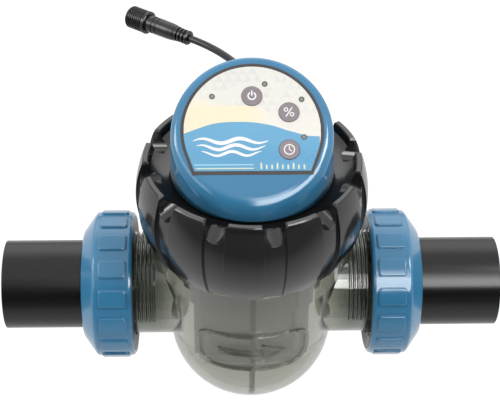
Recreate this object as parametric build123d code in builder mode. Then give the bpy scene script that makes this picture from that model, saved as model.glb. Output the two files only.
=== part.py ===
from build123d import *
import math
import os

# Salt chlorine generator cell, in millimetres: a clear vessel across a pipe run, with union
# nuts and tails, a lock ring, a cap carrying the electrodes, a control head and its cable.
# Origin: centre of the inlet tail's open end face, on the pipe axis.
# +X runs along the flow from inlet to outlet, +Z is up, -Y is the front.

os.makedirs("parts", exist_ok=True)

# ---------------------------------------------------------------------------
# Driving dimensions
# ---------------------------------------------------------------------------
half_length = 139.0            # pipe end to vessel axis
axis_x = half_length           # x of the vessel axis
centre = (axis_x, 0)

# union tails (50 mm pressure pipe size)
tail_od, tail_id = 50.0, 42.0
tail_free = 43.6               # full-size spigot length outside the union nut
tail_under_nut_r = 24.5
tail_flange_r, tail_flange_t = 28.0, 5.0

# threaded ports (G 2 parallel thread proportions), distances from the vessel axis
port_face = 80.0
port_root_r, port_crest_r = 28.3, 29.8
port_pitch = 2.309
port_bore_r, port_bore_end = 21.0, 30.0
port_thread_start, port_turns = 54.6, 11
thread_root_half = 0.98        # half width of a port or nut tooth at its root
groove_inner_r, groove_outer_r, groove_depth = 23.4, 26.0, 2.4

# union nuts, distances from the vessel axis
nut_in, nut_out = 65.8, 94.6
nut_r, nut_pad_r = 40.9, 41.5
nut_pads = 16
nut_lip_r = 24.6
nut_end_r = 30.2               # where the outer chamfer meets the end face

# vessel
bowl_r, bowl_centre_z, bowl_wall = 46.4, -26.5, 4.0
bowl_inner_r = bowl_r - bowl_wall
cone_start_deg = 3.0           # where the cone leaves the bowl, above its centre
cone_top_r, cone_top_z = 53.4, 37.6
neck_root_r, neck_crest_r, neck_inner_r = 51.2, 52.6, 47.0
neck_bottom_z, neck_top_z = 39.6, 63.0
neck_thread_z = 42.5           # lowest tooth
ring_pitch, ring_turns = 4.0, 5
rib_t = 2.9
cavity_floor_z = -75.0         # start of the rib cuts, below the vessel

# lock ring
ring_bottom_z, ring_top_z = 40.7, 90.8
ring_bottom_r, ring_mid_r, ring_top_r = 56.5, 62.9, 58.6
ring_mid_z = 68.0
ring_inner_r, ring_thread_r = 53.9, 52.9
ring_thread_z = 44.5
ring_mouth_r, ring_mouth_z = 42.6, 80.4
ring_lugs = 12
ring_gap_deg = 10.7            # width of the recessed column under each notch
ring_turn_deg = -94.9          # direction of one raised lug's centre
notch_deg = ring_turn_deg + 180 / ring_lugs
notch_half, notch_floor_z, notch_tip_deg = 5.5, 80.0, 14

# cell cap
cap_bottom_z, cap_floor_z = 50.0, 60.0
cap_plug_r, cap_flange_r, cap_neck_r, cap_well_r = 46.7, 52.2, 42.3, 37.5
cap_flange_top, cap_top = 69.8, 82.0
cap_groove_r, cap_groove_bottom, cap_groove_top = 44.0, 55.1, 58.1
pocket_r, pocket_depth = 5.2, 2.6    # seal pockets round the terminals

# control head
head_z, head_r = 82.4, 43.8    # lower edge of the cover
face_tilt = math.radians(34.2)
face_r, face_low, face_edge = 42.2, 0.6, 4.0    # rim, its drop below panel centre, edge fillet
wall, face_wall = 2.6, 2.8
base_t, base_hole_r, screw_head_t = 2.6, 20.0, 1.5
post_z = head_z + base_t + 0.1
label_r, label_low, label_chord = 37.1, 1.0, -24.7
label_side, label_corner = (34.7, -14.0), 30.9
label_seat = 0.4
board_r, board_d, board_t = 35.0, -10.0, 1.6
board_back = board_d - board_t
header_h = 6.0
button_r, button_hole_r, lens_hole_r = 5.3, 5.38, 1.6
screw_at = [(axis_x + x, y) for y in (26.5, -26.5) for x in (26.5, -26.5)]    # back pair first
# (across, up) on the sloping panel
button_at = {
    "power_button": (0.0, 18.0),
    "output_button": (19.1, 9.0),
    "timer_button": (18.9, -11.4),
}
lens_at = [(-20.7, 17.9), (6.8, 24.7), (25.8, 16.1), (26.6, -4.6)]
board_post_at = [(-30.0, 6.0), (30.0, 6.0), (-18.0, -26.0), (18.0, -26.0)]

# electrode pack
plate_t, plate_pitch, plate_half = 1.2, 6.5, 32.0
plate_bottom, plate_top = -41.5, 23.5
anode_rows, cathode_rows, all_rows = (-2, 0, 2), (-1, 1), (-2, -1, 0, 1, 2)
slot_w = plate_t + 0.2
rod_r, rod_hole_r = 2.0, 2.05
rod_bottom, rod_length, rod_nut_t = -47.0, 104.0, 3.0
rod_at = [(axis_x + x, y) for y in (-16.0, 16.0) for x in (-25.0, 25.0)]
upper_comb_z, upper_comb_t, lower_comb_t = 18.0, 9.0, 7.0
terminal_x = 14.0
terminal_at = [(axis_x - terminal_x, 0), (axis_x + terminal_x, 0)]
bar_z, bar_t, bar_w = 31.0, 3.0, 12.0
terminal_r, terminal_hole_r, terminal_length = 3.0, 3.1, 44.0
fastener_hole_r = 3.05
washer_t, terminal_nut_t = 1.4, 5.0
eyelet_z = cap_floor_z + washer_t + terminal_nut_t

# cable and plug
cable_r, cable_clear_r, cable_z = 2.15, 2.25, 95.0
cable_start_y, cable_bend_y = 28, 54
plug_at = (axis_x - 35.3, 110.2, cable_z)
plug_angle = math.radians(145.0)
plug_dir = (math.cos(plug_angle), math.sin(plug_angle), 0.0)
insert_at, pins_at, pin_circle_r = 33.82, 33.8, 1.9


# ---------------------------------------------------------------------------
# Planes and helpers
# ---------------------------------------------------------------------------
def upright(x, y=0):
    """Plane facing the front: local x along +X, local y up."""
    return Plane(origin=(x, y, 0), x_dir=(1, 0, 0), z_dir=(0, -1, 0))


def across(x):
    """Plane across the pipe axis at x, facing +X."""
    return Plane(origin=(x, 0, 0), x_dir=(0, 1, 0), z_dir=(1, 0, 0))


VESSEL = upright(axis_x)       # local x = radius from the vessel axis, local y = height
VESSEL_AXIS = Axis((axis_x, 0, 0), (0, 0, 1))
FACE_NORMAL = (0, -math.sin(face_tilt), math.cos(face_tilt))
FACE = Plane(origin=(axis_x - 0.4, -8.2, 115.3), x_dir=(1, 0, 0), z_dir=FACE_NORMAL)
# local x along +Y, local y up
GLAND = Plane(origin=(axis_x, 0, cable_z), x_dir=(0, 1, 0), z_dir=(1, 0, 0))
GLAND_AXIS = Axis((axis_x, 0, cable_z), (0, 1, 0))
PLUG = Plane(origin=plug_at, x_dir=plug_dir, z_dir=(0, 0, 1))    # local x along the plug
PLUG_AXIS = Axis(plug_at, plug_dir)


def finish(piece, name):
    """Label a piece and write its file."""
    piece.part.label = name
    export_step(piece.part, "parts/" + name + ".step")


def turned(name, plane, axis, profile):
    """Write a piece made by revolving one closed profile."""
    with BuildPart() as piece:
        with BuildSketch(plane):
            Polygon(*profile, align=None)
        revolve(axis=axis)
    finish(piece, name)


def seal_ring(name, plane, axis, section_centre, section_r):
    """Write an O-ring of round section."""
    with BuildPart() as piece:
        with BuildSketch(plane):
            with Locations(section_centre):
                Circle(section_r)
        revolve(axis=axis)
    finish(piece, name)


def tooth(middle, root_half, root_r, crest_half, crest_r):
    """Thread tooth as (distance along the axis, radius)."""
    return [
        (middle - root_half, root_r), (middle - crest_half, crest_r),
        (middle + crest_half, crest_r), (middle + root_half, root_r),
    ]


def standing(points):
    """Swap (height, radius) to (radius, height) for the VESSEL plane."""
    return [(r, z) for z, r in points]


def on_side(side, points):
    """Turn (distance from vessel axis, radius) into (x, radius); side is -1 at the inlet."""
    return [(axis_x + side * d, r) for d, r in points]


# ---------------------------------------------------------------------------
# Clear vessel
# ---------------------------------------------------------------------------
port_tooth = [    # (distance from the tooth's middle, radius)
    (-thread_root_half, port_root_r - 0.3), (-0.42, port_crest_r - 0.12), (-0.2, port_crest_r),
    (0.2, port_crest_r), (0.42, port_crest_r - 0.12), (thread_root_half, port_root_r - 0.3),
]

with BuildPart() as port_ridges:
    with BuildSketch(Plane.XZ):
        for side in (-1, 1):
            for i in range(port_turns):
                x = axis_x + side * (port_thread_start + i * port_pitch)
                Polygon(*[(x + dx, r) for dx, r in port_tooth], align=None)
    revolve(axis=Axis.X)
    # the thread is cut away in a band below the pipe's mid plane
    with BuildSketch(Plane.XY.offset(-24)):
        with Locations(centre):
            Rectangle(2 * port_face + 10, 80)
    extrude(amount=21.5, mode=Mode.SUBTRACT)
    # between the two nuts it is cut away underneath as well
    with BuildSketch(Plane.XY.offset(-40)):
        with Locations(centre):
            Rectangle(2 * (nut_in - 0.4), 80)
    extrude(amount=20, mode=Mode.SUBTRACT)

with BuildPart() as cavity:
    open_z = neck_top_z + 5
    with BuildSketch(VESSEL):
        with BuildLine():
            CenterArc((0, bowl_centre_z), bowl_inner_r, -90, 90)
            Line((bowl_inner_r, bowl_centre_z), (neck_inner_r, 20))
            Line((neck_inner_r, 20), (neck_inner_r, open_z))
            Line((neck_inner_r, open_z), (0, open_z))
            Line((0, open_z), (0, bowl_centre_z - bowl_inner_r))
        make_face()
    revolve(axis=VESSEL_AXIS)
    # guide ribs at the front and back, joined by a low divider on the floor
    with BuildSketch(Plane.XY.offset(cavity_floor_z)):
        with Locations((axis_x, -43), (axis_x, 43)):
            Rectangle(rib_t, 19)
    extrude(amount=103, mode=Mode.SUBTRACT)
    with BuildSketch(Plane.XY.offset(cavity_floor_z)):
        with Locations(centre):
            Rectangle(rib_t, 100)
    extrude(amount=24, mode=Mode.SUBTRACT)

with BuildPart() as cell_housing:
    cone_start = math.radians(cone_start_deg)
    cone_foot = (
        bowl_r * math.cos(cone_start),
        bowl_centre_z + bowl_r * math.sin(cone_start),
    )
    with BuildSketch(VESSEL):
        with BuildLine():
            CenterArc((0, bowl_centre_z), bowl_r, -90, 90 + cone_start_deg)
            Line(cone_foot, (cone_top_r, cone_top_z))
            Line((cone_top_r, cone_top_z), (neck_root_r, neck_bottom_z))
            Line((neck_root_r, neck_bottom_z), (neck_root_r, neck_top_z))
            Line((neck_root_r, neck_top_z), (0, neck_top_z))
            Line((0, neck_top_z), (0, bowl_centre_z - bowl_r))
        make_face()
    revolve(axis=VESSEL_AXIS)
    with BuildSketch(across(axis_x - port_face)):
        Circle(port_root_r)
    extrude(amount=2 * port_face)
    add(cavity.part, mode=Mode.SUBTRACT)
    for x in (axis_x - port_face, axis_x + port_bore_end):
        with BuildSketch(across(x)):
            Circle(port_bore_r)
        extrude(amount=port_face - port_bore_end, mode=Mode.SUBTRACT)
    add(port_ridges.part)
    # neck thread
    with BuildSketch(VESSEL):
        for i in range(ring_turns):
            z = neck_thread_z + i * ring_pitch
            Polygon(*standing(tooth(z, 1.3, neck_root_r - 0.5, 0.4, neck_crest_r)), align=None)
    revolve(axis=VESSEL_AXIS)
    # seal grooves in the port end faces
    for side in (-1, 1):
        with BuildSketch(across(axis_x + side * port_face)):
            Circle(groove_outer_r)
            Circle(groove_inner_r, mode=Mode.SUBTRACT)
        extrude(amount=-side * groove_depth, mode=Mode.SUBTRACT)
finish(cell_housing, "cell_housing")

# ---------------------------------------------------------------------------
# Union seals, tails and nuts; outlines are (distance from vessel axis, radius)
# ---------------------------------------------------------------------------
flange_end = port_face + tail_flange_t
nut_seat = flange_end + 0.15
tail_step = half_length - tail_free
oring_centre = (port_face - groove_depth / 2, (groove_inner_r + groove_outer_r) / 2)

tail_outline = [
    (half_length, tail_id / 2 + 0.8), (half_length, tail_od / 2),
    (tail_step, tail_od / 2), (tail_step - 0.3, tail_under_nut_r),
    (flange_end, tail_under_nut_r), (flange_end, tail_flange_r),
    (port_face, tail_flange_r), (port_face, tail_id / 2),
    (half_length - 0.8, tail_id / 2),
]
nut_mouth, nut_body_end, nut_chamfer_start = (nut_in, 38.4), (85.8, nut_r), (88.2, 39.3)
nut_outside = [
    nut_mouth, (nut_in, 39.4), (nut_in + 0.6, 40.4), (nut_in + 1.8, nut_r), nut_body_end,
]
nut_rounding = [nut_body_end, (87.1, 40.55), nut_chamfer_start]
nut_end_and_inside = [
    nut_chamfer_start,
    (nut_out - 0.5, nut_end_r + 0.7), (nut_out, nut_end_r - 0.4),
    (nut_out, nut_lip_r + 0.8), (nut_out - 0.8, nut_lip_r),
    (nut_seat, nut_lip_r), (nut_seat, 31.4),
    (nut_in + 3.2, 31.4), (nut_in + 2.4, 32.6), nut_mouth,
]
pad_band = [(60, 0), (60, nut_pad_r), (92, nut_pad_r), (92, 0)]
pad_middle = 76.6

for side, name in ((-1, "inlet"), (1, "outlet")):
    seal_ring(name + "_oring", Plane.XZ, Axis.X, on_side(side, [oring_centre])[0], 1.19)
    turned(name + "_tail", Plane.XZ, Axis.X, on_side(side, tail_outline))

    # raised grip pads round the nut, trimmed to a cylinder
    with BuildPart() as pads:
        planes = []
        for i in range(nut_pads):
            turn = math.radians((i + 0.5) * 360 / nut_pads + 3.0)
            outward = (0, math.cos(turn), math.sin(turn))
            origin = (axis_x + side * pad_middle, 0, 0)
            planes.append(Plane(origin=origin, x_dir=(1, 0, 0), z_dir=outward).offset(38))
        with BuildSketch(*planes):
            RectangleRounded(15.6, 10.2, 1.8)
        extrude(amount=6)
        with BuildSketch(Plane.XZ):
            Polygon(*on_side(side, pad_band), align=None)
        revolve(axis=Axis.X, mode=Mode.INTERSECT)

    with BuildPart() as nut:
        with BuildSketch(Plane.XZ):
            with BuildLine():
                Polyline(*on_side(side, nut_outside))
                Spline(*on_side(side, nut_rounding), tangents=((side, 0, 0), (side * 0.6, -0.8, 0)))
                Polyline(*on_side(side, nut_end_and_inside))
            make_face()
        revolve(axis=Axis.X)
        # internal thread, standing clear of the port's crests
        with BuildSketch(Plane.XZ):
            for i in range(5):
                x = axis_x + side * (nut_in + 4.6 + i * port_pitch)
                Polygon(*tooth(x, thread_root_half, 31.6, 0.3, 29.95), align=None)
        revolve(axis=Axis.X)
        add(pads.part)
    finish(nut, name + "_nut")

# ---------------------------------------------------------------------------
# Lock ring; the two cutting tools are built about the origin
# ---------------------------------------------------------------------------
with BuildPart() as skirt_recess:
    foot_r, brow_r = ring_bottom_r - 0.8, ring_top_r - 1.6
    clear_r, below_z, above_z = 70, ring_bottom_z - 1, ring_top_z + 1
    with BuildSketch(Plane.XZ):
        with BuildLine():
            Line((foot_r, below_z), (foot_r, ring_bottom_z))
            ThreePointArc(
                (foot_r, ring_bottom_z), (ring_mid_r - 1.6, ring_mid_z), (brow_r, ring_top_z)
            )
            Polyline(
                (brow_r, ring_top_z), (brow_r, above_z), (clear_r, above_z),
                (clear_r, below_z), (foot_r, below_z),
            )
        make_face()
    revolve(axis=Axis.Z, revolution_arc=ring_gap_deg)

notch_sides = [    # (across, up), from one end of the rounded floor to the other
    (notch_half, 5.0), (notch_half + 0.2, 8.8), (notch_half + 1.5, 10.6), (notch_half + 1.5, 30),
    (-notch_half - 1.5, 30), (-notch_half - 1.5, 10.6), (-notch_half - 0.2, 8.8),
    (-notch_half, 5.0),
]

with BuildPart() as notch_tool:
    tip = math.radians(notch_tip_deg)
    notch_plane = Plane(
        origin=(49.5, 0, notch_floor_z + 2.2),
        x_dir=(0, 1, 0),
        z_dir=(math.cos(tip), 0, -math.sin(tip)),
    )
    with BuildSketch(notch_plane):
        with BuildLine():
            ThreePointArc(notch_sides[-1], (0, -0.4), notch_sides[0])
            Polyline(*notch_sides)
        make_face()
    extrude(amount=22)

ring_rim = [    # (radius, z), over the top edge to the dished shoulder
    (ring_top_r, ring_top_z - 0.6), (ring_top_r - 0.6, ring_top_z), (55.9, ring_top_z),
    (55.4, ring_top_z - 0.5), (54.2, 86.0),
]
ring_inside = [    # (radius, z), down the inside to the bottom edge
    (43.4, 81.0), (ring_mouth_r, ring_mouth_z), (ring_mouth_r, cap_flange_top + 0.4),
    (ring_inner_r, cap_flange_top + 0.4), (ring_inner_r, ring_bottom_z + 0.6),
    (ring_inner_r + 0.6, ring_bottom_z), (ring_bottom_r, ring_bottom_z),
]

with BuildPart() as lock_ring:
    with BuildSketch(VESSEL):
        with BuildLine():
            ThreePointArc(ring_inside[-1], (ring_mid_r, ring_mid_z), ring_rim[0])
            Polyline(*ring_rim)
            Spline(ring_rim[-1], (50.8, 83.3), ring_inside[0])
            Polyline(*ring_inside)
        make_face()
    revolve(axis=VESSEL_AXIS)
    with Locations((axis_x, 0, 0)):
        with PolarLocations(0, ring_lugs, start_angle=notch_deg - ring_gap_deg / 2):
            add(skirt_recess.part, mode=Mode.SUBTRACT)
        with PolarLocations(0, ring_lugs, start_angle=notch_deg):
            add(notch_tool.part, mode=Mode.SUBTRACT)
    # internal thread
    with BuildSketch(VESSEL):
        for i in range(ring_turns):
            z = ring_thread_z + i * ring_pitch
            Polygon(*standing(tooth(z, 1.2, ring_inner_r + 0.5, 0.4, ring_thread_r)), align=None)
    revolve(axis=VESSEL_AXIS)
finish(lock_ring, "lock_ring")

# ---------------------------------------------------------------------------
# Cell cap, its seal and the gasket on top
# ---------------------------------------------------------------------------
cap_outline = [    # (radius, z)
    (0, cap_bottom_z), (cap_plug_r - 1, cap_bottom_z), (cap_plug_r, cap_bottom_z + 1),
    (cap_plug_r, cap_groove_bottom), (cap_groove_r, cap_groove_bottom),
    (cap_groove_r, cap_groove_top), (cap_plug_r, cap_groove_top),
    (cap_plug_r, neck_top_z), (cap_flange_r, neck_top_z),
    (cap_flange_r, cap_flange_top - 0.8), (cap_flange_r - 0.8, cap_flange_top),
    (cap_neck_r, cap_flange_top), (cap_neck_r, cap_top),
    (cap_well_r, cap_top), (cap_well_r, cap_floor_z), (0, cap_floor_z),
]

with BuildPart() as cell_cap:
    with BuildSketch(VESSEL):
        Polygon(*cap_outline, align=None)
    revolve(axis=VESSEL_AXIS)
    with BuildSketch(Plane.XY.offset(cap_bottom_z - 1)):
        with Locations(*terminal_at):
            Circle(terminal_hole_r)
    extrude(amount=20, mode=Mode.SUBTRACT)
    with BuildSketch(Plane.XY.offset(cap_bottom_z)):
        with Locations(*terminal_at):
            Circle(pocket_r)
    extrude(amount=pocket_depth, mode=Mode.SUBTRACT)
    # blind holes for the tie rods
    with BuildSketch(Plane.XY.offset(cap_bottom_z)):
        with Locations(*rod_at):
            Circle(rod_hole_r)
    extrude(amount=7.2, mode=Mode.SUBTRACT)
finish(cell_cap, "cell_cap")

# the seal sits midway between the groove floor and the neck bore
cap_seal_centre = ((cap_groove_r + neck_inner_r) / 2, (cap_groove_bottom + cap_groove_top) / 2)
seal_ring("cap_oring", VESSEL, VESSEL_AXIS, cap_seal_centre, 1.46)

with BuildPart() as head_gasket:
    with BuildSketch(Plane.XY.offset(cap_top)):
        with Locations(centre):
            Circle(42.0)
            Circle(37.8, mode=Mode.SUBTRACT)
    extrude(amount=head_z - cap_top)
finish(head_gasket, "head_gasket")


# ---------------------------------------------------------------------------
# Control head: cover, base plate, label, buttons, lights and board
# ---------------------------------------------------------------------------
def label_outline(gap):
    """Round at the top, with straight sides closing in to the lower corners."""
    x, y = label_side[0] + gap, label_side[1]
    corner_x, corner_y = label_corner + gap, label_chord - gap
    with BuildLine(mode=Mode.PRIVATE) as outline:
        ThreePointArc((x, y), (0, label_r - label_low + gap), (-x, y))
        Polyline((-x, y), (-corner_x, corner_y), (corner_x, corner_y), (x, y))
    return outline.line


with BuildPart() as head_void:
    with BuildSketch(Plane.XY.offset(head_z)):
        with Locations(centre):
            Circle(head_r - wall)
    with BuildSketch(FACE.offset(-face_wall)):
        with Locations((0, -face_low)):
            Circle(face_r - face_wall)
    loft()

with BuildPart() as head_cover:
    with BuildSketch(Plane.XY.offset(head_z)):
        with Locations(centre):
            Circle(head_r)
    with BuildSketch(FACE):
        with Locations((0, -face_low)):
            Circle(face_r)
    loft()
    fillet(head_cover.faces().sort_by(Axis.Z)[-1].edges(), radius=face_edge)
    add(head_void.part, mode=Mode.SUBTRACT)
    # posts for the base screws, short at the front and tall at the back
    for places, post_r, post_h in ((screw_at[2:], 4.5, 5.0), (screw_at[:2], 3.6, 14)):
        with BuildSketch(Plane.XY.offset(post_z)):
            with Locations(*places):
                Circle(post_r)
        extrude(amount=post_h)
    with BuildSketch(Plane.XY.offset(post_z)):
        with Locations(*screw_at):
            Circle(1.3)
    extrude(amount=4.3, mode=Mode.SUBTRACT)
    # posts that carry the circuit board
    with BuildSketch(FACE.offset(board_d)):
        with Locations(*board_post_at):
            Circle(2.6)
    extrude(amount=-board_d - wall)
    with BuildSketch(FACE.offset(board_d)):
        with Locations(*board_post_at):
            Circle(1.15)
    extrude(amount=5.5, mode=Mode.SUBTRACT)
    # shallow seat for the label, holes for the buttons and lenses
    with BuildSketch(FACE):
        make_face(label_outline(0.15).edges())
    extrude(amount=-label_seat, mode=Mode.SUBTRACT)
    with BuildSketch(FACE):
        with Locations(*button_at.values()):
            Circle(button_hole_r)
        with Locations(*lens_at):
            Circle(lens_hole_r)
    extrude(amount=-4, mode=Mode.SUBTRACT)
    # cable hole at the back
    with BuildSketch(Plane(origin=(axis_x, 30, cable_z), x_dir=(1, 0, 0), z_dir=(0, 1, 0))):
        Circle(4.0)
    extrude(amount=20, mode=Mode.SUBTRACT)
finish(head_cover, "head_cover")

with BuildPart() as base_plate:
    # thin rim, then the full-thickness disc
    for disc_r, disc_t in ((40.6, 0.6), (39.0, base_t)):
        with BuildSketch(Plane.XY.offset(head_z)):
            with Locations(centre):
                Circle(disc_r)
        extrude(amount=disc_t)
    with BuildSketch(Plane.XY.offset(head_z)):
        with Locations(centre):
            Circle(base_hole_r)
        with Locations(*screw_at):
            Circle(1.5)
    extrude(amount=base_t, mode=Mode.SUBTRACT)
    # counterbores for the screw heads
    with BuildSketch(Plane.XY.offset(head_z)):
        with Locations(*screw_at):
            Circle(2.7)
    extrude(amount=screw_head_t + 0.1, mode=Mode.SUBTRACT)
finish(base_plate, "base_plate")

with BuildPart() as base_screws:
    screw_z = head_z + 0.1
    with BuildSketch(Plane.XY.offset(screw_z)):
        with Locations(*screw_at):
            Circle(2.5)
    extrude(amount=screw_head_t)
    with BuildSketch(Plane.XY.offset(screw_z + screw_head_t)):
        with Locations(*screw_at):
            Circle(1.25)
    extrude(amount=5.0)
    # cross recess
    with BuildSketch(Plane.XY.offset(screw_z)):
        with Locations(*screw_at):
            Rectangle(2.6, 0.6)
            Rectangle(0.6, 2.6)
    extrude(amount=0.7, mode=Mode.SUBTRACT)
finish(base_screws, "base_screws")

with BuildPart() as control_label:
    with BuildSketch(FACE.offset(-label_seat)):
        make_face(label_outline(0.0).edges())
        with Locations(*button_at.values()):
            Circle(button_hole_r + 0.1, mode=Mode.SUBTRACT)
        with Locations(*lens_at):
            Circle(lens_hole_r, mode=Mode.SUBTRACT)
    extrude(amount=0.5)
finish(control_label, "control_label")

for name, place in button_at.items():
    with BuildPart() as button:
        with BuildSketch(FACE.offset(-3.0)):
            with Locations(place):
                Circle(button_r)
        extrude(amount=3.6)
        fillet(button.faces().sort_by(Axis((0, 0, 0), FACE.z_dir))[-1].edges(), radius=0.35)
        # flange behind the panel, then the stem: (depth, radius, height)
        for depth, radius, height in ((-4.0, 6.4, 1.1), (-7.2, 1.6, 3.4)):
            with BuildSketch(FACE.offset(depth)):
                with Locations(place):
                    Circle(radius)
            extrude(amount=height)
    finish(button, name)

with BuildPart() as indicator_lenses:
    with BuildSketch(FACE.offset(-8.5)):
        with Locations(*lens_at):
            Circle(1.5)
    extrude(amount=8.7)
finish(indicator_lenses, "indicator_lenses")

with BuildPart() as status_leds:
    with BuildSketch(FACE.offset(board_d)):
        with Locations(*lens_at):
            Rectangle(3.2, 2.8)
    extrude(amount=1.4)
finish(status_leds, "status_leds")

with BuildPart() as tact_switches:
    with BuildSketch(FACE.offset(board_d)):
        with Locations(*button_at.values()):
            Rectangle(6.2, 6.2)
    extrude(amount=3.4)
    with BuildSketch(FACE.offset(board_d + 1.2)):
        with Locations(*button_at.values()):
            Circle(1.75)
    extrude(amount=4, mode=Mode.SUBTRACT)
finish(tact_switches, "tact_switches")

with BuildPart() as circuit_board:
    with BuildSketch(FACE.offset(board_back)):
        Circle(board_r)
        with Locations(*board_post_at):
            Circle(1.35, mode=Mode.SUBTRACT)
    extrude(amount=board_t)
finish(circuit_board, "circuit_board")

with BuildPart() as board_screws:
    board_screw_head_t = 1.4
    with BuildSketch(FACE.offset(board_back - board_screw_head_t)):
        with Locations(*board_post_at):
            Circle(2.3)
    extrude(amount=board_screw_head_t)
    with BuildSketch(FACE.offset(board_back)):
        with Locations(*board_post_at):
            Circle(1.1)
    extrude(amount=5.8)
finish(board_screws, "board_screws")

with BuildPart() as board_header:
    with BuildSketch(FACE.offset(board_back - header_h)):
        Rectangle(18, 8)
    extrude(amount=header_h)
finish(board_header, "board_header")


# ---------------------------------------------------------------------------
# Electrode pack
# ---------------------------------------------------------------------------
def plates(name, rows, tab_side):
    """Write upright plates, each with a tab rising to its terminal bar."""
    tab_bottom = plate_top - 1
    with BuildPart() as pack:
        for row in rows:
            with BuildSketch(upright(axis_x, row * plate_pitch + plate_t / 2)):
                with Locations((0, (plate_bottom + plate_top) / 2)):
                    Rectangle(2 * plate_half, plate_top - plate_bottom)
                with Locations((tab_side * terminal_x, (tab_bottom + bar_z) / 2)):
                    Rectangle(bar_w, bar_z - tab_bottom)
            extrude(amount=plate_t)
    finish(pack, name)


plates("anode_plates", anode_rows, 1)
plates("cathode_plates", cathode_rows, -1)

for name, side, bar_half in (("anode_terminal", 1, 14.5), ("cathode_terminal", -1, 8.5)):
    place = (axis_x + side * terminal_x, 0)
    collar_t = 2.6
    with BuildPart() as terminal:
        with BuildSketch(Plane.XY.offset(bar_z)):
            with Locations(place):
                Rectangle(bar_w, 2 * bar_half)
        extrude(amount=bar_t)
        with BuildSketch(Plane.XY.offset(bar_z + bar_t)):
            with Locations(place):
                Circle(terminal_r)
        extrude(amount=terminal_length)
        # collar against the underside of the cap
        with BuildSketch(Plane.XY.offset(cap_bottom_z - collar_t)):
            with Locations(place):
                Circle(6.2)
        extrude(amount=collar_t)
    finish(terminal, name)

with BuildPart() as upper_comb:
    with BuildSketch(Plane.XY.offset(upper_comb_z)):
        with Locations(centre):
            RectangleRounded(70, 38, 5)
        with Locations(*rod_at):
            Circle(rod_hole_r, mode=Mode.SUBTRACT)
    extrude(amount=upper_comb_t)
    # plate slots from below, then narrower slots for the tabs
    with BuildSketch(Plane.XY.offset(upper_comb_z)):
        with Locations(*[(axis_x, i * plate_pitch) for i in all_rows]):
            Rectangle(2 * plate_half + 0.4, slot_w)
    extrude(amount=plate_top - upper_comb_z + 0.1, mode=Mode.SUBTRACT)
    with BuildSketch(Plane.XY.offset(22)):
        for side, rows in ((1, anode_rows), (-1, cathode_rows)):
            with Locations(*[(axis_x + side * terminal_x, i * plate_pitch) for i in rows]):
                Rectangle(bar_w + 0.4, slot_w)
    extrude(amount=6, mode=Mode.SUBTRACT)
finish(upper_comb, "upper_comb")

with BuildPart() as lower_comb:
    with BuildSketch(Plane.XY.offset(rod_bottom + rod_nut_t)):
        with Locations(centre):
            RectangleRounded(59, 38, 4)
        with Locations(*rod_at):
            Circle(rod_hole_r, mode=Mode.SUBTRACT)
    extrude(amount=lower_comb_t)
    with BuildSketch(Plane.XY.offset(plate_bottom - 0.1)):
        with Locations(*[(axis_x, i * plate_pitch) for i in all_rows]):
            Rectangle(80, slot_w)
    extrude(amount=10, mode=Mode.SUBTRACT)
finish(lower_comb, "lower_comb")

with BuildPart() as tie_rods:
    with BuildSketch(Plane.XY.offset(rod_bottom)):
        with Locations(*rod_at):
            Circle(rod_r)
    extrude(amount=rod_length)
finish(tie_rods, "tie_rods")

with BuildPart() as rod_nuts:
    with BuildSketch(Plane.XY.offset(rod_bottom)):
        with Locations(*rod_at):
            RegularPolygon(3.9, 6)
            Circle(rod_hole_r, mode=Mode.SUBTRACT)
    extrude(amount=rod_nut_t)
finish(rod_nuts, "rod_nuts")

with BuildPart() as terminal_seals:
    for x, y in terminal_at:
        with BuildSketch(upright(x)):
            with Locations((4.12, cap_bottom_z + pocket_depth / 2)):
                Circle(1.05)
        revolve(axis=Axis((x, 0, 0), (0, 0, 1)))
finish(terminal_seals, "terminal_seals")

with BuildPart() as terminal_washers:
    with BuildSketch(Plane.XY.offset(cap_floor_z)):
        with Locations(*terminal_at):
            Circle(6.5)
            Circle(terminal_hole_r, mode=Mode.SUBTRACT)
    extrude(amount=washer_t)
finish(terminal_washers, "terminal_washers")

with BuildPart() as terminal_nuts:
    with BuildSketch(Plane.XY.offset(cap_floor_z + washer_t)):
        with Locations(*terminal_at):
            RegularPolygon(5.77, 6)
            Circle(fastener_hole_r, mode=Mode.SUBTRACT)
    extrude(amount=terminal_nut_t)
finish(terminal_nuts, "terminal_nuts")

# eyelets on the terminals, with wires up to the board header
with BuildPart() as lead_wires:
    with BuildSketch(Plane.XY.offset(eyelet_z)):
        with Locations(*terminal_at):
            Circle(5.2)
            Circle(fastener_hole_r, mode=Mode.SUBTRACT)
    extrude(amount=1.0)
    for side in (-1, 1):
        start = (axis_x + side * (terminal_x - 4.4), 0, eyelet_z + 0.6)
        end = FACE.from_local_coords(Vector(side * 5.0, 0, board_back - header_h - 0.2))
        with BuildLine():
            wire = Spline(
                start, (axis_x + side * 8.5, 1.0, 84.0), (end.X, end.Y, end.Z),
                tangents=((0, 0, 1), FACE_NORMAL),
            )
        with BuildSketch(Plane(origin=start, z_dir=(0, 0, 1))):
            Circle(1.1)
        sweep(path=wire)
finish(lead_wires, "lead_wires")

# ---------------------------------------------------------------------------
# Cable, gland and plug
# ---------------------------------------------------------------------------
turned("cable_gland", GLAND, GLAND_AXIS, [    # (y, radius)
    (33.5, cable_clear_r), (33.5, 5.4), (35.3, 5.4), (35.3, 3.9), (41.8, 3.9), (41.8, 5.4),
    (44.2, 5.4), (45.2, 4.6), (46.4, 4.4), (46.4, 3.9), (47.2, 3.9), (47.2, 4.2), (48.4, 4.0),
    (48.4, 3.5), (49.2, 3.5), (49.2, 3.8), (50.4, 3.6), (50.4, 3.1), (51.2, 3.1), (52.4, 3.0),
    (52.4, cable_clear_r),
])


def along(distance):
    """Point on the plug's axis."""
    return tuple(plug_at[i] + plug_dir[i] * distance for i in range(3))


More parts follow.
